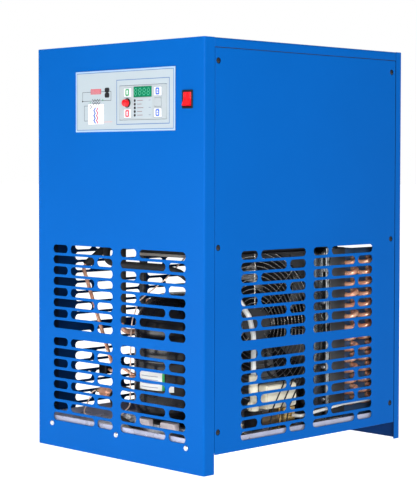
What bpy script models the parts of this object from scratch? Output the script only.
"""Refrigerated compressed-air dryer in a slotted sheet-metal cabinet.

Blender 4.5, metres, +Z up. The origin is on the floor under the middle of the dryer, the
controls face -Y. Run with: blender --background --python part.py
"""

import math

import bmesh
import bpy
from mathutils import Matrix, Vector

# Cabinet
WIDTH = 0.445
DEPTH = 0.530
HEIGHT = 0.740
SHEET = 0.0015
GAP = 0.0003
BEND_RADIUS = 0.004
FRONT_RETURN = 0.025
REAR_RETURN = 0.018
SIDE_PANEL_BOTTOM = 0.033
COVER_FLANGE = 0.016
HALF_W = WIDTH / 2
HALF_D = DEPTH / 2
FRONT = -HALF_D
REAR = HALF_D

# Slot grille: two blocks side by side, sixteen rows in two groups of eight
SLOT_HEIGHT = 0.015
SLOT_PITCH = 0.020
SLOT_SHORT = 0.042
SLOT_LONG = 0.117
SLOT_WEB = 0.008
BLOCK_WIDTH = SLOT_SHORT + SLOT_WEB + SLOT_LONG
BLOCK_GAP = 0.021
ROWS_PER_GROUP = 8
GROUP_TOPS = (0.2045, 0.377)
SIDE_BLOCK_START = 0.090

# Base tray and corner posts
TRAY_BOTTOM = 0.0365
TRAY_TOP = 0.058
POST_BOTTOM = 0.036
POST_TOP = 0.7375
POST_LONG_LEG = 0.044
POST_SHORT_LEG = 0.018

# Screws
SIDE_SCREW_HEAD = 0.0046
SIDE_SCREW_HOLE = 0.0052
POST_HOLE = 0.0036
SHANK = 0.0021
SCREW_RECESS = 0.0002
SIDE_SCREW_FROM_FRONT = (0.034, 0.500)
SIDE_SCREW_HEIGHTS = (0.071, 0.385, 0.701)
PAN_HEAD = 0.005
FRONT_SCREW_XS = (-0.180, 0.0, 0.180)
FRONT_SCREW_Z = 0.043

# Controls
PLATE_X = (-0.1096, 0.1528)
PLATE_Z = (0.584, 0.693)
PLATE_FACE = FRONT - 0.0015
CONTROLLER_X = (0.010, 0.132)
CONTROLLER_Z = (0.604, 0.664)
CONTROLLER_FACE = FRONT - 0.0018
CONTROLLER_BACK = FRONT + 0.049
CUTOUT_CLEARANCE = 0.0005
DISPLAY_X = (0.048, 0.094)
DISPLAY_Z = (0.643, 0.6615)
KEY_SIZE = (0.018, 0.015)
KEY_CENTRES = {
    "start_key": (0.032, 0.652),
    "stop_key": (0.032, 0.615),
    "up_key": (0.110, 0.652),
    "set_key": (0.110, 0.6335),
    "down_key": (0.110, 0.615),
}
KEY_PROUD = 0.0006
BUTTON_CENTRE = (0.032, 0.6335)
BUTTON_RADIUS = 0.0062
BEZEL_RADIUS = 0.0082
BUTTON_PROUD = 0.012
ROCKER_CENTRE = (0.183, 0.636)
ROCKER_FLANGE = (0.0255, 0.0315)
ROCKER_POCKET = (0.0192, 0.0248)
ROCKER_SIZE = (0.0184, 0.023)
ROCKER_PIVOT_Y = FRONT - 0.0005
ROCKER_TILT = math.radians(11)
ROCKER_VALLEY = 0.002
ROCKER_DEPTH = 0.0105

# Compressor
POT_CENTRE = (0.048, -0.146)
POT_RADIUS = 0.090
POT_BOTTOM = 0.0633
POT_TOP = 0.295
FOOT_PLATE = (0.190, 0.150, 0.003)
GROMMET_OFFSET = (0.080, 0.060)
GROMMET_RADIUS = 0.013
TERMINAL_COVER = ((0.103, -0.176, 0.150), (0.158, -0.118, 0.230))
PORT_GAP = 0.0006

# Condenser and fan
AXIS_Z = 0.215
COIL_HALF_X = 0.1655
COIL_Y = (0.163, 0.250)
COIL_Z = (0.060, 0.358)
END_PLATE_TOP = 0.3675
HOOD_HALF_X = 0.172
HOOD_Y = (0.118, 0.160)
HOOD_Z = (0.048, 0.370)
FAN_OPENING = 0.128
GUARD_Y = 0.096
GUARD_RINGS = (0.090, 0.150)
GUARD_WIRE = 0.0025
GUARD_RING_SIDES = 24
DISC_HALF = 0.003
SPOKE_SHIFT = 0.0007
MOTOR_RADIUS = 0.045
HUB_RADIUS = 0.048
BLADE_TIP = 0.121
BLADE_COUNT = 5
BLADE_CHORD = 0.052
BLADE_THICKNESS = 0.0028
BLADE_PITCH = math.radians(30)
BLADE_Y = 0.1363
SHAFT_RADIUS = 0.004
WIRING_BOX_X = (0.023, 0.100)
WIRING_BOX_Z = (0.055, 0.100)

# Heat exchanger on its shelf
SHELF_Z = 0.366
SHELF_X = (-0.095, 0.155)
SHELF_Y = (-0.130, 0.090)
SHELF_LEGS = ((-0.087, -0.122), (0.098, -0.060), (-0.087, 0.082), (0.148, 0.080))
LEG_RADIUS = 0.006
EXCHANGER_TOP = 0.640

# Refrigerant and condensate pipework
LINE_PLANE = -0.185
DRIER_X = (-0.140, -0.096)
DRIER_Z = 0.100
DRIER_RADIUS = 0.011
LIQUID_RADIUS = 0.0035
LIQUID_BEND = 0.007
LIQUID_DROP_X = -0.087
SUCTION_RADIUS = 0.0048
SUCTION_PORT_Z = 0.215
DISCHARGE_RADIUS = 0.004
DISCHARGE_PORT_Z = 0.205
BYPASS_VALVE = (0.060, 0.450)
HOSE_PLACE = (0.170, -0.089)
HOSE_RADIUS = 0.0047
HOSE_END = 0.150
DRAIN_VALVE_X = (0.156, 0.184)
DRAIN_VALVE_TOP = 0.086
DRAIN_TIMER_X = (0.158, 0.182)
DRAIN_TIMER_Y = (-0.064, 0.013)
DRAIN_TIMER_TOP = 0.129
CONDENSATE_RADIUS = 0.003

# Air sockets, cable gland and condensate outlet through the rear panel
SOCKET_XS = {"air_inlet_pipe": -0.085, "air_outlet_pipe": 0.065}
SOCKET_Z = 0.560
SOCKET_RADIUS = 0.0165
SOCKET_BORE = 0.0095
REAR_PROUD = BUTTON_PROUD
GLAND_CENTRE = (-0.165, 0.470)
OUTLET_CENTRE = (0.203, 0.080)

# Turns that stand a flat outline drawn in X-Y upright
FACING_FRONT = Matrix.Rotation(math.radians(90), 4, "X")
FACING_SIDE = Matrix.Rotation(math.radians(90), 4, "Z") @ FACING_FRONT
ALONG_Y = Matrix.Rotation(math.radians(-90), 4, "X")


# ---------------------------------------------------------------- scene and materials


def clear_scene():
    for obj in list(bpy.data.objects):
        bpy.data.objects.remove(obj, do_unlink=True)


def new_collection(name):
    made = bpy.data.collections.new(name)
    bpy.context.scene.collection.children.link(made)
    return made


def finish_of(name, colour, roughness, metallic):
    """A new Principled material: each object gets its own."""
    made = bpy.data.materials.new(name)
    made.use_nodes = True
    shader = made.node_tree.nodes["Principled BSDF"]
    shader.inputs["Base Color"].default_value = (*colour, 1.0)
    shader.inputs["Roughness"].default_value = roughness
    shader.inputs["Metallic"].default_value = metallic
    return made


BLUE_PAINT = ((0.012, 0.19, 0.71), 0.4, 0.0)
ZINC = ((0.62, 0.62, 0.66), 0.35, 1.0)
BLACK_PAINT = ((0.01, 0.01, 0.011), 0.35, 0.0)
BLACK_PLASTIC = ((0.012, 0.012, 0.013), 0.45, 0.0)
BLACK_RUBBER = ((0.015, 0.015, 0.016), 0.8, 0.0)
COPPER = ((0.72, 0.30, 0.16), 0.3, 1.0)
BRASS = ((0.78, 0.56, 0.22), 0.3, 1.0)
GREY_PLATE = ((0.66, 0.68, 0.76), 0.45, 0.0)
RED_PLASTIC = ((0.8, 0.02, 0.02), 0.3, 0.0)
GREEN_GLASS = ((0.0, 0.12, 0.06), 0.15, 0.0)
WHITE_PLASTIC = ((0.78, 0.79, 0.8), 0.5, 0.0)
CREAM_PLASTIC = ((0.72, 0.68, 0.5), 0.5, 0.0)
DARK_SHEET = ((0.06, 0.065, 0.07), 0.5, 0.3)
FOAM = ((0.02, 0.02, 0.021), 0.9, 0.0)


def node(name, mesh, finish, matrix=None):
    """Puts a mesh in the dryer's collection as one named piece."""
    obj = bpy.data.objects.new(name, mesh)
    if not mesh.materials:
        mesh.materials.append(finish_of(name, *finish))
    if matrix is not None:
        obj.matrix_world = matrix
    PARTS.objects.link(obj)
    return obj


def cutter(name, mesh, matrix=None):
    """Puts a mesh among the hidden tools that cut or join other pieces."""
    obj = bpy.data.objects.new(name, mesh)
    if matrix is not None:
        obj.matrix_world = matrix
    CUTTERS.objects.link(obj)
    obj.hide_render = True
    obj.display_type = "WIRE"
    return obj


def combine(obj, tool, operation):
    boolean = obj.modifiers.new(tool.name, "BOOLEAN")
    boolean.object = tool
    boolean.operation = operation
    boolean.solver = "EXACT"


def cut(obj, tool):
    combine(obj, tool, "DIFFERENCE")


def join(obj, tool):
    combine(obj, tool, "UNION")


def round_shading(obj, degrees=35):
    obj.data.shade_smooth()
    obj.data.set_sharp_from_angle(angle=math.radians(degrees))


# ---------------------------------------------------------------- basic shapes


def mesh_of(name, shape):
    """Turns a bmesh into a mesh and frees it."""
    mesh = bpy.data.meshes.new(name)
    shape.to_mesh(mesh)
    shape.free()
    return mesh


def box_mesh(name, low, high):
    low, high = Vector(low), Vector(high)
    shape = bmesh.new()
    place = Matrix.Translation((low + high) / 2) @ Matrix.Diagonal((*(high - low), 1))
    bmesh.ops.create_cube(shape, size=1, matrix=place)
    return mesh_of(name, shape)


def rod_mesh(name, start, end, radius, segments=16):
    """A capped cylinder from one point to another."""
    start, end = Vector(start), Vector(end)
    turn = (end - start).to_track_quat("Z", "Y").to_matrix().to_4x4()
    shape = bmesh.new()
    bmesh.ops.create_cone(
        shape, cap_ends=True, segments=segments, radius1=radius, radius2=radius,
        depth=(end - start).length, matrix=Matrix.Translation((start + end) / 2) @ turn,
    )
    return mesh_of(name, shape)


def turned_mesh(name, profile):
    """The open profile (radius, height) of a turned piece, listed from its top to its bottom."""
    shape = bmesh.new()
    points = [shape.verts.new((radius, 0, height)) for radius, height in profile]
    for upper, lower in zip(points, points[1:]):
        shape.edges.new((upper, lower))
    return mesh_of(name, shape)


def turned(name, profile, finish, matrix, segments=16):
    obj = node(name, turned_mesh(name, profile), finish, matrix)
    turn(obj, segments)
    return obj


def turn(obj, segments):
    screw = obj.modifiers.new("turn", "SCREW")
    screw.axis = "Z"
    screw.steps = segments
    screw.render_steps = segments
    screw.use_merge_vertices = True
    screw.merge_threshold = 0.00005
    screw.use_smooth_shade = True


def outline_mesh(name, loops, thickness):
    """A flat plate in X-Y from closed outlines; a loop inside another one is a hole."""
    curve = bpy.data.curves.new(name, "CURVE")
    curve.dimensions = "2D"
    curve.fill_mode = "BOTH"
    curve.extrude = thickness / 2
    for loop in loops:
        spline = curve.splines.new("POLY")
        spline.points.add(len(loop) - 1)
        for point, (x, y) in zip(spline.points, loop):
            point.co = (x, y, 0, 1)
        spline.use_cyclic_u = True
    return welded_mesh(name, curve)


def welded_mesh(name, curve):
    """The mesh of a curve, with its caps joined to its sides."""
    holder = bpy.data.objects.new(name, curve)
    bpy.context.scene.collection.objects.link(holder)
    graph = bpy.context.evaluated_depsgraph_get()
    mesh = bpy.data.meshes.new_from_object(holder.evaluated_get(graph))
    mesh.name = name
    bpy.data.objects.remove(holder)
    shape = bmesh.new()
    shape.from_mesh(mesh)
    bmesh.ops.remove_doubles(shape, verts=shape.verts, dist=0.00001)
    shape.to_mesh(mesh)
    shape.free()
    mesh.materials.clear()
    return mesh


def rectangle(x_range, y_range):
    (x0, x1), (y0, y1) = x_range, y_range
    return [(x0, y0), (x1, y0), (x1, y1), (x0, y1)]


def circle(centre, radius, segments=8):
    turns = [2 * math.pi * (step + 0.5) / segments for step in range(segments)]
    return [(centre[0] + radius * math.cos(a), centre[1] + radius * math.sin(a)) for a in turns]


def obround(centre, length, height, steps=2):
    """A slot with round ends, each end an arc of so many steps."""
    radius = height / 2
    points = []
    for side in (1, -1):
        for step in range(steps + 1):
            angle = math.radians(-90 + 180 * step / steps)
            reach = length / 2 - radius + radius * math.cos(angle)
            points.append((centre[0] + side * reach, centre[1] + side * radius * math.sin(angle)))
    return points


def filleted(points, radius, steps=3):
    """An open outline with each inner corner rounded to the radius."""
    corners = [Vector(point) for point in points]
    path = [corners[0]]
    for before, corner, after in zip(corners, corners[1:], corners[2:]):
        back = (before - corner).normalized()
        ahead = (after - corner).normalized()
        half = back.angle(ahead) / 2
        reach = radius / math.tan(half)
        centre = corner + (back + ahead).normalized() * radius / math.sin(half)
        start = corner + back * reach - centre
        end = corner + ahead * reach - centre
        for step in range(steps + 1):
            swept = start.normalized().slerp(end.normalized(), step / steps)
            path.append(centre + swept * radius)
    path.append(corners[-1])
    return path


def folded_sheet(name, profile, bottom, top, finish):
    """Sheet metal whose section, its middle line in X-Y, runs up from bottom to top."""
    shape = bmesh.new()
    points = [shape.verts.new((point[0], point[1], bottom)) for point in profile]
    edges = [shape.edges.new(pair) for pair in zip(points, points[1:])]
    raised = bmesh.ops.extrude_edge_only(shape, edges=edges)["geom"]
    lifted = [item for item in raised if isinstance(item, bmesh.types.BMVert)]
    bmesh.ops.translate(shape, vec=(0, 0, top - bottom), verts=lifted)
    obj = node(name, mesh_of(name, shape), finish)
    thicken(obj)
    return obj


def open_box(name, low, high, open_axis, open_sign, finish):
    """A sheet-metal box with one side missing; the corners are on the sheet's middle."""
    mesh = box_mesh(name, low, high)
    shape = bmesh.new()
    shape.from_mesh(mesh)
    gone = [face for face in shape.faces if face.normal[open_axis] * open_sign > 0.5]
    bmesh.ops.delete(shape, geom=gone, context="FACES_ONLY")
    shape.to_mesh(mesh)
    shape.free()
    obj = node(name, mesh, finish)
    thicken(obj)
    return obj


def thicken(obj):
    solidify = obj.modifiers.new("sheet", "SOLIDIFY")
    solidify.thickness = SHEET
    solidify.offset = 0
    solidify.use_even_offset = True


def pipe(name, route, radius, finish, bend=0.012):
    """A tube along the route, with its corners bent to a radius."""
    curve = bpy.data.curves.new(name, "CURVE")
    curve.dimensions = "3D"
    curve.bevel_depth = radius
    curve.bevel_resolution = 2
    curve.use_fill_caps = True
    points = filleted(route, bend) if len(route) > 2 else [Vector(point) for point in route]
    spline = curve.splines.new("POLY")
    spline.points.add(len(points) - 1)
    for point, place in zip(spline.points, points):
        point.co = (*place, 1)
    mesh = welded_mesh(name, curve)
    obj = node(name, mesh, finish)
    round_shading(obj)
    return obj


# ---------------------------------------------------------------- cabinet


def slot_loops(block_starts):
    """Every slot of a grille. Rows alternate short-long and long-short from each group's top."""
    loops = []
    for start in block_starts:
        for group_top in GROUP_TOPS:
            for row in range(ROWS_PER_GROUP):
                height = group_top - SLOT_HEIGHT / 2 - row * SLOT_PITCH
                lengths = (SLOT_SHORT, SLOT_LONG) if row % 2 == 0 else (SLOT_LONG, SLOT_SHORT)
                left = start
                for length in lengths:
                    loops.append(obround((left + length / 2, height), length, SLOT_HEIGHT))
                    left += length + SLOT_WEB
    return loops


def face_block_starts():
    """Left edges of the two slot blocks of the front and rear panels."""
    return (-BLOCK_GAP / 2 - BLOCK_WIDTH, BLOCK_GAP / 2)


def side_block_starts():
    first = FRONT + SIDE_BLOCK_START
    return (first, first + BLOCK_WIDTH + BLOCK_GAP)


def wrap_profile(sign, side_return):
    """Middle line of the front (sign -1) or rear (sign 1) panel, seen from above."""
    x = HALF_W - SHEET / 2
    y = HALF_D - SHEET / 2
    end = HALF_D - side_return
    corners = [(-x, sign * end), (-x, sign * y), (x, sign * y), (x, sign * end)]
    return filleted([(px, py, 0) for px, py in corners], BEND_RADIUS - SHEET / 2)


def widened(span, by):
    return (span[0] - by, span[1] + by)


def centred(centre, size):
    return (centre - size / 2, centre + size / 2)


def front_panel():
    panel = folded_sheet("front_panel", wrap_profile(-1, FRONT_RETURN), 0, HEIGHT, BLUE_PAINT)
    holes = slot_loops(face_block_starts())
    holes += [circle((x, FRONT_SCREW_Z), SHANK + 0.0006) for x in FRONT_SCREW_XS]
    window_x = widened(CONTROLLER_X, CUTOUT_CLEARANCE)
    window_z = widened(CONTROLLER_Z, CUTOUT_CLEARANCE)
    holes.append(rectangle(window_x, window_z))
    body_x = centred(ROCKER_CENTRE[0], ROCKER_FLANGE[0] - 0.0033)
    body_z = centred(ROCKER_CENTRE[1], ROCKER_FLANGE[1] - 0.0033)
    holes.append(rectangle(body_x, body_z))
    place = Matrix.Translation((0, FRONT, 0)) @ FACING_FRONT
    cut(panel, cutter("front_holes", outline_mesh("front_holes", holes, 0.02), place))


def rear_panel():
    panel = folded_sheet("rear_panel", wrap_profile(1, REAR_RETURN), 0, HEIGHT, BLUE_PAINT)
    holes = slot_loops(face_block_starts())
    holes += [circle((x, SOCKET_Z), SOCKET_RADIUS + 0.001, 16) for x in SOCKET_XS.values()]
    holes.append(circle(GLAND_CENTRE, 0.0075, 12))
    holes.append(circle(OUTLET_CENTRE, 0.0068, 12))
    place = Matrix.Translation((0, REAR, 0)) @ FACING_FRONT
    cut(panel, cutter("rear_holes", outline_mesh("rear_holes", holes, 0.02), place))


def side_screw_places():
    return [(FRONT + back, height) for back in SIDE_SCREW_FROM_FRONT for height in SIDE_SCREW_HEIGHTS]


def side_panels():
    y_range = (FRONT + FRONT_RETURN + GAP, REAR - REAR_RETURN - GAP)
    z_range = (SIDE_PANEL_BOTTOM, HEIGHT - COVER_FLANGE - GAP)
    loops = [rectangle(y_range, z_range)] + slot_loops(side_block_starts())
    loops += [circle(place, SIDE_SCREW_HOLE, 10) for place in side_screw_places()]
    for name, side in (("right_side_panel", 1), ("left_side_panel", -1)):
        place = Matrix.Translation((side * (HALF_W - SHEET / 2), 0, 0)) @ FACING_SIDE
        node(name, outline_mesh(name, loops, SHEET), BLUE_PAINT, place)


def top_cover():
    inner_x = HALF_W - SHEET - GAP
    inner_y = HALF_D - SHEET - GAP
    flange_y = (FRONT + FRONT_RETURN + GAP, REAR - REAR_RETURN - GAP)
    plate_bottom = HEIGHT - SHEET
    nip = BEND_RADIUS - SHEET
    outline = [
        (x * (inner_x - nip * (1 - step)), y * (inner_y - nip * step))
        for x, y in ((1, -1), (1, 1), (-1, 1), (-1, -1))
        for step in ((0, 1) if x * y < 0 else (1, 0))
    ]
    place = Matrix.Translation((0, 0, HEIGHT - SHEET / 2))
    cover = node("top_cover", outline_mesh("top_cover", [outline], SHEET), BLUE_PAINT, place)
    wide = box_mesh(
        "cover_wings", (-HALF_W, flange_y[0], plate_bottom), (HALF_W, flange_y[1], HEIGHT)
    )
    join(cover, cutter("cover_wings", wide))
    flange_bottom = HEIGHT - COVER_FLANGE
    for side in (-1, 1):
        edge, inside = side * HALF_W, side * (HALF_W - SHEET)
        low = (min(edge, inside), flange_y[0], flange_bottom)
        high = (max(edge, inside), flange_y[1], HEIGHT)
        join(cover, cutter("cover_flange", box_mesh("cover_flange", low, high)))


def corner_posts():
    """Four angles behind the seams. The side screws go into their long legs."""
    x = HALF_W - SHEET - GAP - SHEET / 2
    y = HALF_D - SHEET - GAP - SHEET / 2
    for depth_name, depth_sign in (("front", -1), ("rear", 1)):
        for side_name, side in (("left", -1), ("right", 1)):
            corners = [
                (side * x, depth_sign * (y - POST_LONG_LEG), 0),
                (side * x, depth_sign * y, 0),
                (side * (x - POST_SHORT_LEG), depth_sign * y, 0),
            ]
            profile = filleted(corners, BEND_RADIUS - SHEET - GAP - SHEET / 2)
            name = f"{depth_name}_{side_name}_post"
            post = folded_sheet(name, profile, POST_BOTTOM, POST_TOP, ZINC)
            back = SIDE_SCREW_FROM_FRONT[0] if depth_sign < 0 else SIDE_SCREW_FROM_FRONT[1]
            holes = [circle((FRONT + back, height), POST_HOLE) for height in SIDE_SCREW_HEIGHTS]
            place = Matrix.Translation((side * x, 0, 0)) @ FACING_SIDE
            tool = outline_mesh(f"{name}_holes", holes, 0.006)
            cut(post, cutter(f"{name}_holes", tool, place))
            if name == "rear_right_post":
                cut(post, cutter("outlet_notch", outlet_notch()))


def outlet_notch():
    """Room in the rear right post for the condensate outlet."""
    low = (OUTLET_CENTRE[0] - 0.012, REAR - 0.010, OUTLET_CENTRE[1] - 0.009)
    high = (OUTLET_CENTRE[0] + 0.009, REAR, OUTLET_CENTRE[1] + 0.009)
    return box_mesh("outlet_notch", low, high)


def base_tray():
    inset = SHEET + GAP + SHEET + 0.0012
    half_x = HALF_W - inset
    half_y = HALF_D - inset
    tray = open_box(
        "base_tray",
        (-half_x, -half_y, TRAY_BOTTOM + SHEET / 2), (half_x, half_y, TRAY_TOP),
        open_axis=2, open_sign=1, finish=ZINC,
    )
    holes = [circle((x, FRONT_SCREW_Z), SHANK + 0.0006) for x in FRONT_SCREW_XS]
    place = Matrix.Translation((0, -half_y, 0)) @ FACING_FRONT
    cut(tray, cutter("tray_holes", outline_mesh("tray_holes", holes, 0.006), place))


def side_screws():
    """Countersunk screws of the right side panel, their heads just below its surface.

    The left panel's six are the same; they are left to the finished model, to keep the node count.
    """
    profile = [
        (0, 0), (SIDE_SCREW_HEAD, 0), (SHANK, -0.0024), (SHANK, -0.011), (0, -0.011),
    ]
    outward = Matrix.Rotation(math.radians(90), 4, "Y")
    for index, (y, z) in enumerate(side_screw_places(), 1):
        place = Matrix.Translation((HALF_W - SCREW_RECESS, y, z)) @ outward
        turned(f"side_screw_{index}", profile, ZINC, place, segments=8)


def front_screws():
    profile = [
        (0, 0.0028), (0.6 * PAN_HEAD, 0.0025), (PAN_HEAD, 0.0012), (PAN_HEAD, 0),
        (SHANK, 0), (SHANK, -0.009), (0, -0.009),
    ]
    outward = Matrix.Rotation(math.radians(90), 4, "X")
    for index, x in enumerate(FRONT_SCREW_XS, 1):
        place = Matrix.Translation((x, FRONT - GAP, FRONT_SCREW_Z)) @ outward
        turned(f"front_screw_{index}", profile, ZINC, place, segments=10)


# ---------------------------------------------------------------- controls


def plate_between(name, loops, y_front, y_back, finish):
    """An upright plate drawn as X-Z outlines, between two depths."""
    place = Matrix.Translation((0, (y_front + y_back) / 2, 0)) @ FACING_FRONT
    return node(name, outline_mesh(name, loops, y_back - y_front), finish, place)


def cut_between(obj, name, loops, y_front, y_back):
    place = Matrix.Translation((0, (y_front + y_back) / 2, 0)) @ FACING_FRONT
    cut(obj, cutter(name, outline_mesh(name, loops, y_back - y_front), place))


def control_plate():
    window = rectangle(
        widened(CONTROLLER_X, CUTOUT_CLEARANCE), widened(CONTROLLER_Z, CUTOUT_CLEARANCE)
    )
    loops = [rectangle(PLATE_X, PLATE_Z), window]
    plate_between("control_plate", loops, PLATE_FACE, FRONT - GAP, GREY_PLATE)


def key_outline(centre, clearance=0.0):
    return rectangle(
        widened(centred(centre[0], KEY_SIZE[0]), clearance),
        widened(centred(centre[1], KEY_SIZE[1]), clearance),
    )


def controller():
    """Housing with a pocket for each key, for the display and for the push-button."""
    housing = node(
        "controller_housing",
        box_mesh(
            "controller_housing",
            (CONTROLLER_X[0], CONTROLLER_FACE, CONTROLLER_Z[0]),
            (CONTROLLER_X[1], CONTROLLER_BACK, CONTROLLER_Z[1]),
        ),
        GREY_PLATE,
    )
    before_face = CONTROLLER_FACE - 0.002
    pockets = [key_outline(centre, 0.0004) for centre in KEY_CENTRES.values()]
    cut_between(housing, "key_pockets", pockets, before_face, CONTROLLER_FACE + 0.0044)
    pocket = rectangle(widened(DISPLAY_X, GAP), widened(DISPLAY_Z, GAP))
    cut_between(housing, "display_pocket", [pocket], before_face, CONTROLLER_FACE + 0.0016)
    bore = circle(BUTTON_CENTRE, BUTTON_RADIUS + 0.0005, 16)
    cut_between(housing, "button_bore", [bore], before_face, CONTROLLER_FACE + 0.013)

    display = [rectangle(DISPLAY_X, DISPLAY_Z)]
    plate_between(
        "display_window", display, CONTROLLER_FACE - 0.0004, CONTROLLER_FACE + 0.0013, GREEN_GLASS
    )
    for name, centre in KEY_CENTRES.items():
        key_back = CONTROLLER_FACE + 0.003
        plate_between(name, [key_outline(centre)], CONTROLLER_FACE - KEY_PROUD, key_back, GREY_PLATE)


def push_button():
    bezel = [
        circle(BUTTON_CENTRE, BEZEL_RADIUS, 16), circle(BUTTON_CENTRE, BUTTON_RADIUS + 0.0005, 16),
    ]
    bezel_back = CONTROLLER_FACE - GAP
    plate_between("push_button_bezel", bezel, bezel_back - 0.002, bezel_back, BLACK_PLASTIC)
    length = FRONT - BUTTON_PROUD - (CONTROLLER_FACE + 0.0068)
    profile = [
        (0, 0), (0.65 * BUTTON_RADIUS, -0.0003), (0.93 * BUTTON_RADIUS, -0.0012),
        (BUTTON_RADIUS, -0.0028), (BUTTON_RADIUS, length), (0, length),
    ]
    outward = Matrix.Rotation(math.radians(90), 4, "X")
    tip = (BUTTON_CENTRE[0], FRONT - BUTTON_PROUD, BUTTON_CENTRE[1])
    turned("push_button_cap", profile, RED_PLASTIC, Matrix.Translation(tip) @ outward)


def rocker_switch():
    """A snap-in rocker switch; its rocker rests with the lower end out."""
    x, z = ROCKER_CENTRE
    flange = [rectangle(centred(x, ROCKER_FLANGE[0]), centred(z, ROCKER_FLANGE[1]))]
    frame = plate_between(
        "rocker_switch_frame", flange, FRONT - 0.0023, FRONT - GAP, BLACK_PLASTIC
    )
    body = box_mesh(
        "switch_body",
        (x - ROCKER_FLANGE[0] / 2 + 0.002, FRONT - 0.001, z - ROCKER_FLANGE[1] / 2 + 0.002),
        (x + ROCKER_FLANGE[0] / 2 - 0.002, FRONT + 0.025, z + ROCKER_FLANGE[1] / 2 - 0.002),
    )
    join(frame, cutter("switch_body", body))
    pocket = [rectangle(centred(x, ROCKER_POCKET[0]), centred(z, ROCKER_POCKET[1]))]
    cut_between(frame, "rocker_pocket", pocket, FRONT - 0.006, FRONT + 0.019)

    half = ROCKER_SIZE[1] / 2
    valley = ROCKER_VALLEY
    crest = valley + half * math.tan(ROCKER_TILT)
    outward_up = [
        (crest, half), (valley, 0), (crest, -half), (-0.002, -half),
        (-0.009, -0.5 * half), (-ROCKER_DEPTH, 0), (-0.009, 0.5 * half), (-0.002, half),
    ]
    lean = Matrix.Rotation(-ROCKER_TILT, 2)
    loop = [lean @ Vector((-outward, up)) for outward, up in outward_up]
    place = Matrix.Translation((x, ROCKER_PIVOT_Y, z)) @ FACING_SIDE
    mesh = outline_mesh("rocker_switch_rocker", [loop], ROCKER_SIZE[0])
    node("rocker_switch_rocker", mesh, RED_PLASTIC, place)


# ---------------------------------------------------------------- compressor


def compressor():
    radius = POT_RADIUS
    profile = [
        (0, POT_TOP), (0.45 * radius, POT_TOP - 0.004), (0.80 * radius, POT_TOP - 0.020),
        (0.97 * radius, POT_TOP - 0.045), (radius, POT_TOP - 0.070), (radius, 0.100),
        (0.97 * radius, 0.086), (0.75 * radius, 0.070), (0.55 * radius, POT_BOTTOM),
        (0, POT_BOTTOM),
    ]
    place = Matrix.Translation((*POT_CENTRE, 0))
    turned("compressor_body", profile, BLACK_PAINT, place, segments=24)

    half_x, half_y, _ = (size / 2 for size in FOOT_PLATE)
    cx, cy = POT_CENTRE
    top = POT_BOTTOM - GAP
    low = (cx - half_x, cy - half_y, top - FOOT_PLATE[2])
    plate = node(
        "compressor_foot_plate",
        box_mesh("compressor_foot_plate", low, (cx + half_x, cy + half_y, top)),
        ZINC,
    )
    bevel = plate.modifiers.new("round", "BEVEL")
    bevel.width = 0.0008
    bevel.segments = 1
    floor = TRAY_BOTTOM + SHEET + GAP
    grommet_top = low[2] - GAP
    middle = (floor + grommet_top) / 2
    waist = [
        (0, grommet_top), (GROMMET_RADIUS, grommet_top), (0.75 * GROMMET_RADIUS, middle),
        (GROMMET_RADIUS, floor), (0, floor),
    ]
    index = 0
    for sign_x in (-1, 1):
        for sign_y in (-1, 1):
            index += 1
            corner = (cx + sign_x * GROMMET_OFFSET[0], cy + sign_y * GROMMET_OFFSET[1], 0)
            name = f"compressor_grommet_{index}"
            turned(name, waist, BLACK_RUBBER, Matrix.Translation(corner), segments=10)


def terminal_cover():
    """The box over the compressor's terminals, hollowed to the pot's wall."""
    cx, cy = POT_CENTRE
    cover = node(
        "compressor_terminal_cover",
        box_mesh("compressor_terminal_cover", *TERMINAL_COVER),
        BLACK_PLASTIC,
    )
    bottom, top = TERMINAL_COVER[0][2] - 0.02, TERMINAL_COVER[1][2] + 0.02
    wall = rod_mesh("pot_wall", (cx, cy, bottom), (cx, cy, top), POT_RADIUS + 0.0009, 48)
    cut(cover, cutter("pot_wall", wall))


# ---------------------------------------------------------------- condenser and fan


def condenser():
    """Fin pack, pressed between two end plates that stand on the tray."""
    half_x = COIL_HALF_X
    coil = node(
        "condenser_coil",
        box_mesh("condenser_coil", (-half_x, COIL_Y[0], COIL_Z[0]), (half_x, COIL_Y[1], COIL_Z[1])),
        ((0.45, 0.46, 0.48), 0.5, 0.8),
    )
    floor = TRAY_BOTTOM + SHEET + GAP
    for side in (-1, 1):
        inner, outer = side * (half_x - SHEET), side * (half_x + SHEET)
        low = (min(inner, outer), HOOD_Y[1] + GAP, floor)
        high = (max(inner, outer), COIL_Y[1] + 0.003, END_PLATE_TOP)
        join(coil, cutter("end_plate", box_mesh("end_plate", low, high)))


def fan_hood():
    """Sheet hood between the fan and the condenser, with the fan's round inlet ring."""
    hood = open_box(
        "fan_hood",
        (-HOOD_HALF_X + SHEET / 2, HOOD_Y[0] + SHEET / 2, HOOD_Z[0] + SHEET / 2),
        (HOOD_HALF_X - SHEET / 2, HOOD_Y[1], HOOD_Z[1] - SHEET / 2),
        open_axis=1, open_sign=1, finish=DARK_SHEET,
    )
    ring = rod_mesh(
        "inlet_ring", (0, HOOD_Y[0], AXIS_Z), (0, HOOD_Y[0] + 0.030, AXIS_Z), FAN_OPENING + SHEET, 32
    )
    join(hood, cutter("inlet_ring", ring))
    opening = rod_mesh(
        "fan_opening", (0, HOOD_Y[0] - 0.01, AXIS_Z), (0, HOOD_Y[0] + 0.05, AXIS_Z), FAN_OPENING, 32
    )
    cut(hood, cutter("fan_opening", opening))


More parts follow.
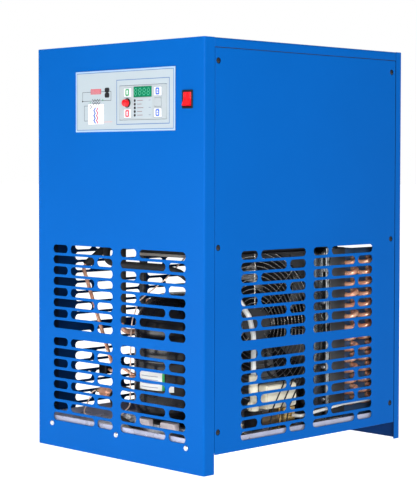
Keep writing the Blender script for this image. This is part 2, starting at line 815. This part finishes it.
def ring_mesh(name, radius, wire, y):
    """A wire ring around the fan's axis."""
    bpy.ops.mesh.primitive_torus_add(
        major_segments=GUARD_RING_SIDES, minor_segments=4, major_radius=radius, minor_radius=wire,
    )
    made = bpy.context.object
    mesh = made.data
    mesh.name = name
    bpy.data.objects.remove(made)
    half_side = Matrix.Rotation(math.pi / GUARD_RING_SIDES, 4, "Z")
    mesh.transform(Matrix.Translation((0, y, AXIS_Z)) @ ALONG_Y @ half_side)
    return mesh


def fan_guard():
    """Wire guard: a middle disc that carries the motor, spokes, rings and four feet."""
    disc = (0, GUARD_Y - DISC_HALF, AXIS_Z), (0, GUARD_Y + DISC_HALF, AXIS_Z)
    guard = node("fan_guard", rod_mesh("fan_guard", *disc, 0.036, 24), BLACK_PAINT)
    reach = GUARD_RINGS[-1]
    for spoke in range(4):
        angle = math.radians(45 * spoke)
        along = Vector((math.cos(angle), 0, math.sin(angle))) * reach
        middle = Vector((0, GUARD_Y - SPOKE_SHIFT, AXIS_Z))
        bar = rod_mesh(f"spoke_{spoke}", middle - along, middle + along, 0.0021, 5)
        join(guard, cutter(f"spoke_{spoke}", bar))
    for radius in GUARD_RINGS:
        join(guard, cutter("guard_ring", ring_mesh("guard_ring", radius, GUARD_WIRE, GUARD_Y)))
    for quarter in range(4):
        angle = math.radians(45 + 90 * quarter)
        x, z = reach * math.cos(angle), AXIS_Z + reach * math.sin(angle)
        foot = rod_mesh("guard_foot", (x, GUARD_Y, z), (x, HOOD_Y[0] - GAP, z), 0.0034, 8)
        join(guard, cutter("guard_foot", foot))


def fan():
    motor_y = (GUARD_Y + DISC_HALF + GAP, 0.122)
    motor_ends = (0, motor_y[0], AXIS_Z), (0, motor_y[1], AXIS_Z)
    motor = node("fan_motor", rod_mesh("fan_motor", *motor_ends, MOTOR_RADIUS, 24), BLACK_PAINT)
    bore = rod_mesh("motor_bore", (0, 0.110, AXIS_Z), (0, 0.130, AXIS_Z), SHAFT_RADIUS + 0.0006, 12)
    cut(motor, cutter("motor_bore", bore))

    hub_y = (motor_y[1] + 0.0008, 0.150)
    hub_ends = (0, hub_y[0], AXIS_Z), (0, hub_y[1], AXIS_Z)
    impeller = node("fan_impeller", rod_mesh("fan_impeller", *hub_ends, HUB_RADIUS, 20), BLACK_PLASTIC)
    shaft = rod_mesh("fan_shaft", (0, 0.112, AXIS_Z), (0, 0.140, AXIS_Z), SHAFT_RADIUS, 12)
    join(impeller, cutter("fan_shaft", shaft))
    root = HUB_RADIUS - 0.006
    for blade in range(BLADE_COUNT):
        wide, thick = BLADE_CHORD / 2, BLADE_THICKNESS / 2
        mesh = box_mesh("blade", (root, -wide, -thick), (BLADE_TIP, wide, thick))
        pitch = Matrix.Rotation(BLADE_PITCH, 4, "X")
        around = Matrix.Rotation(2 * math.pi * blade / BLADE_COUNT, 4, "Z")
        place = Matrix.Translation((0, BLADE_Y, AXIS_Z)) @ ALONG_Y @ around @ pitch
        join(impeller, cutter("blade", mesh, place))

    low = (WIRING_BOX_X[0], 0.104, WIRING_BOX_Z[0])
    high = (WIRING_BOX_X[1], HOOD_Y[0] - GAP, WIRING_BOX_Z[1])
    node("fan_wiring_box", box_mesh("fan_wiring_box", low, high), BLACK_PLASTIC)


# ---------------------------------------------------------------- heat exchanger and shelf


def heat_exchanger():
    (x0, x1), (y0, y1) = SHELF_X, SHELF_Y
    block = node(
        "heat_exchanger",
        box_mesh("heat_exchanger", (x0, y0, SHELF_Z + GAP), (x1, y1, EXCHANGER_TOP)),
        FOAM,
    )
    bevel = block.modifiers.new("round", "BEVEL")
    bevel.width = 0.012
    bevel.segments = 2
    shelf = node(
        "exchanger_shelf",
        box_mesh("exchanger_shelf", (x0, y0, SHELF_Z - SHEET), (x1, y1, SHELF_Z)),
        ZINC,
    )
    for low_y in (y0, y1 - SHEET):
        flange = box_mesh(
            "shelf_flange", (x0, low_y, SHELF_Z - 0.011), (x1, low_y + SHEET, SHELF_Z)
        )
        join(shelf, cutter("shelf_flange", flange))
    floor = TRAY_BOTTOM + SHEET + GAP
    for place in SHELF_LEGS:
        leg = rod_mesh("shelf_leg", (*place, floor), (*place, SHELF_Z - 0.0005), LEG_RADIUS, 10)
        join(shelf, cutter("shelf_leg", leg))


# ---------------------------------------------------------------- refrigerant, air and water lines


def refrigerant_lines():
    low, high = DRIER_X
    neck, body = LIQUID_RADIUS, DRIER_RADIUS
    profile = [
        (0, low), (neck, low), (neck, low + 0.004), (body, low + 0.012),
        (body, high - 0.012), (neck, high - 0.004), (neck, high), (0, high),
    ]
    along_x = Matrix.Rotation(math.radians(90), 4, "Y")
    turned(
        "filter_drier", profile[::-1], COPPER,
        Matrix.Translation((0, LINE_PLANE, DRIER_Z)) @ along_x,
    )
    pipe(
        "liquid_pipe",
        [
            (-0.096 - 2 * GAP, -0.100, 0.420), (-0.150, -0.110, 0.400), (-0.186, LINE_PLANE, 0.330),
            (-0.132, LINE_PLANE, 0.215), (-0.104, LINE_PLANE, 0.156),
            (LIQUID_DROP_X, LINE_PLANE, 0.128), (LIQUID_DROP_X, LINE_PLANE, DRIER_Z),
            (high + GAP, LINE_PLANE, DRIER_Z),
        ],
        LIQUID_RADIUS, COPPER, bend=LIQUID_BEND,
    )
    pot_left = POT_CENTRE[0] - POT_RADIUS - PORT_GAP
    pipe(
        "suction_pipe",
        [
            (-0.082, SHELF_Y[0] - GAP, 0.430), (-0.082, -0.180, 0.430), (-0.082, -0.180, SUCTION_PORT_Z),
            (-0.060, POT_CENTRE[1], SUCTION_PORT_Z), (pot_left, POT_CENTRE[1], SUCTION_PORT_Z),
        ],
        SUCTION_RADIUS, COPPER,
    )
    pot_back = POT_CENTRE[1] + POT_RADIUS + PORT_GAP
    end_plate = -(COIL_HALF_X + SHEET + 2 * GAP)
    pipe(
        "discharge_pipe",
        [
            (POT_CENTRE[0], pot_back, DISCHARGE_PORT_Z), (POT_CENTRE[0], -0.025, DISCHARGE_PORT_Z),
            (0.020, -0.020, 0.255), (-0.196, -0.020, 0.255), (-0.196, 0.180, 0.255),
            (-0.196, 0.180, 0.340), (end_plate, 0.180, 0.340),
        ],
        DISCHARGE_RADIUS, COPPER,
    )
    profile = [
        (0, 0.050), (0.017, 0.050), (0.017, 0.014), (0.008, 0.012), (0.008, 0), (0, 0),
    ]
    outward = Matrix.Rotation(math.radians(90), 4, "X")
    place = Matrix.Translation((BYPASS_VALVE[0], SHELF_Y[0] - GAP, BYPASS_VALVE[1])) @ outward
    turned("hot_gas_bypass_valve", profile, BRASS, place)


def drain_line():
    """Condensate: hose from the separator, valve on the tray, pipe to the rear outlet."""
    hose_x, hose_y = HOSE_PLACE
    hose_end = HOSE_END
    valve_top = DRAIN_VALVE_TOP
    pipe(
        "drain_hose",
        [
            (0.140, -0.152, SHELF_Z - 0.012 - GAP), (0.152, -0.150, 0.330), (0.170, -0.115, 0.288),
            (hose_x, hose_y, 0.229), (hose_x, hose_y, hose_end),
        ],
        HOSE_RADIUS, WHITE_PLASTIC,
    )
    profile = [
        (0, hose_end - GAP), (0.0085, hose_end - GAP), (0.0085, 0.118), (0.006, 0.114),
        (0.006, 0.104), (0.010, 0.100), (0.010, valve_top + GAP), (0, valve_top + GAP),
    ]
    turned(
        "drain_fitting", profile, CREAM_PLASTIC, Matrix.Translation((hose_x, hose_y, 0)), segments=12
    )
    floor = TRAY_BOTTOM + SHEET + GAP
    valve = node(
        "drain_valve_body",
        box_mesh(
            "drain_valve_body",
            (DRAIN_VALVE_X[0], -0.103, floor + 0.012), (DRAIN_VALVE_X[1], 0.010, valve_top),
        ),
        BRASS,
    )
    foot = box_mesh("valve_foot", (0.160, -0.060, floor), (0.180, -0.030, floor + 0.02))
    join(valve, cutter("valve_foot", foot))
    low = (DRAIN_TIMER_X[0], DRAIN_TIMER_Y[0], valve_top + GAP)
    high = (DRAIN_TIMER_X[1], DRAIN_TIMER_Y[1], DRAIN_TIMER_TOP)
    node("drain_timer", box_mesh("drain_timer", low, high), CREAM_PLASTIC)
    x, z = OUTLET_CENTRE
    pipe(
        "condensate_pipe",
        [
            (DRAIN_VALVE_X[1] + GAP, 0.000, 0.070), (x, 0.000, 0.070), (x, 0.120, z),
            (x, REAR - 0.016, z),
        ],
        CONDENSATE_RADIUS, WHITE_PLASTIC,
    )
    fitting = [
        (0, -0.0155), (0.0060, -0.0155), (0.0060, REAR_PROUD), (0.0036, REAR_PROUD),
        (0.0036, -0.006), (0, -0.006),
    ]
    rear_fitting("condensate_outlet", fitting, x, z, BLACK_PLASTIC)


def rear_fitting(name, profile, x, z, finish):
    """A turned fitting on the rear panel; its profile runs from inside to outside."""
    outward = Matrix.Rotation(math.radians(-90), 4, "X")
    place = Matrix.Translation((x, REAR, z)) @ outward
    turned(name, profile[::-1], finish, place)


def rear_fittings():
    inside = SHELF_Y[1] + GAP - REAR
    for name, x in SOCKET_XS.items():
        profile = [
            (0, inside), (0.0125, inside), (0.0125, -0.030), (SOCKET_RADIUS, -0.027),
            (SOCKET_RADIUS, REAR_PROUD), (SOCKET_BORE, REAR_PROUD), (SOCKET_BORE, -0.045), (0, -0.045),
        ]
        rear_fitting(name, profile, x, SOCKET_Z, ZINC)
    gland = [
        (0.004, -0.012), (0.0066, -0.012), (0.0066, GAP), (0.011, GAP), (0.011, 0.005),
        (0.009, REAR_PROUD), (0.004, REAR_PROUD), (0.004, -0.012),
    ]
    rear_fitting("cable_gland", gland, *GLAND_CENTRE, BLACK_PLASTIC)


# ---------------------------------------------------------------- the dryer

clear_scene()
PARTS = new_collection("refrigerated_air_dryer")
CUTTERS = new_collection("cutters")

front_panel()
rear_panel()
side_panels()
top_cover()
corner_posts()
base_tray()
side_screws()
front_screws()
control_plate()
controller()
push_button()
rocker_switch()
compressor()
terminal_cover()
condenser()
fan_hood()
fan_guard()
fan()
heat_exchanger()
refrigerant_lines()
drain_line()
rear_fittings()
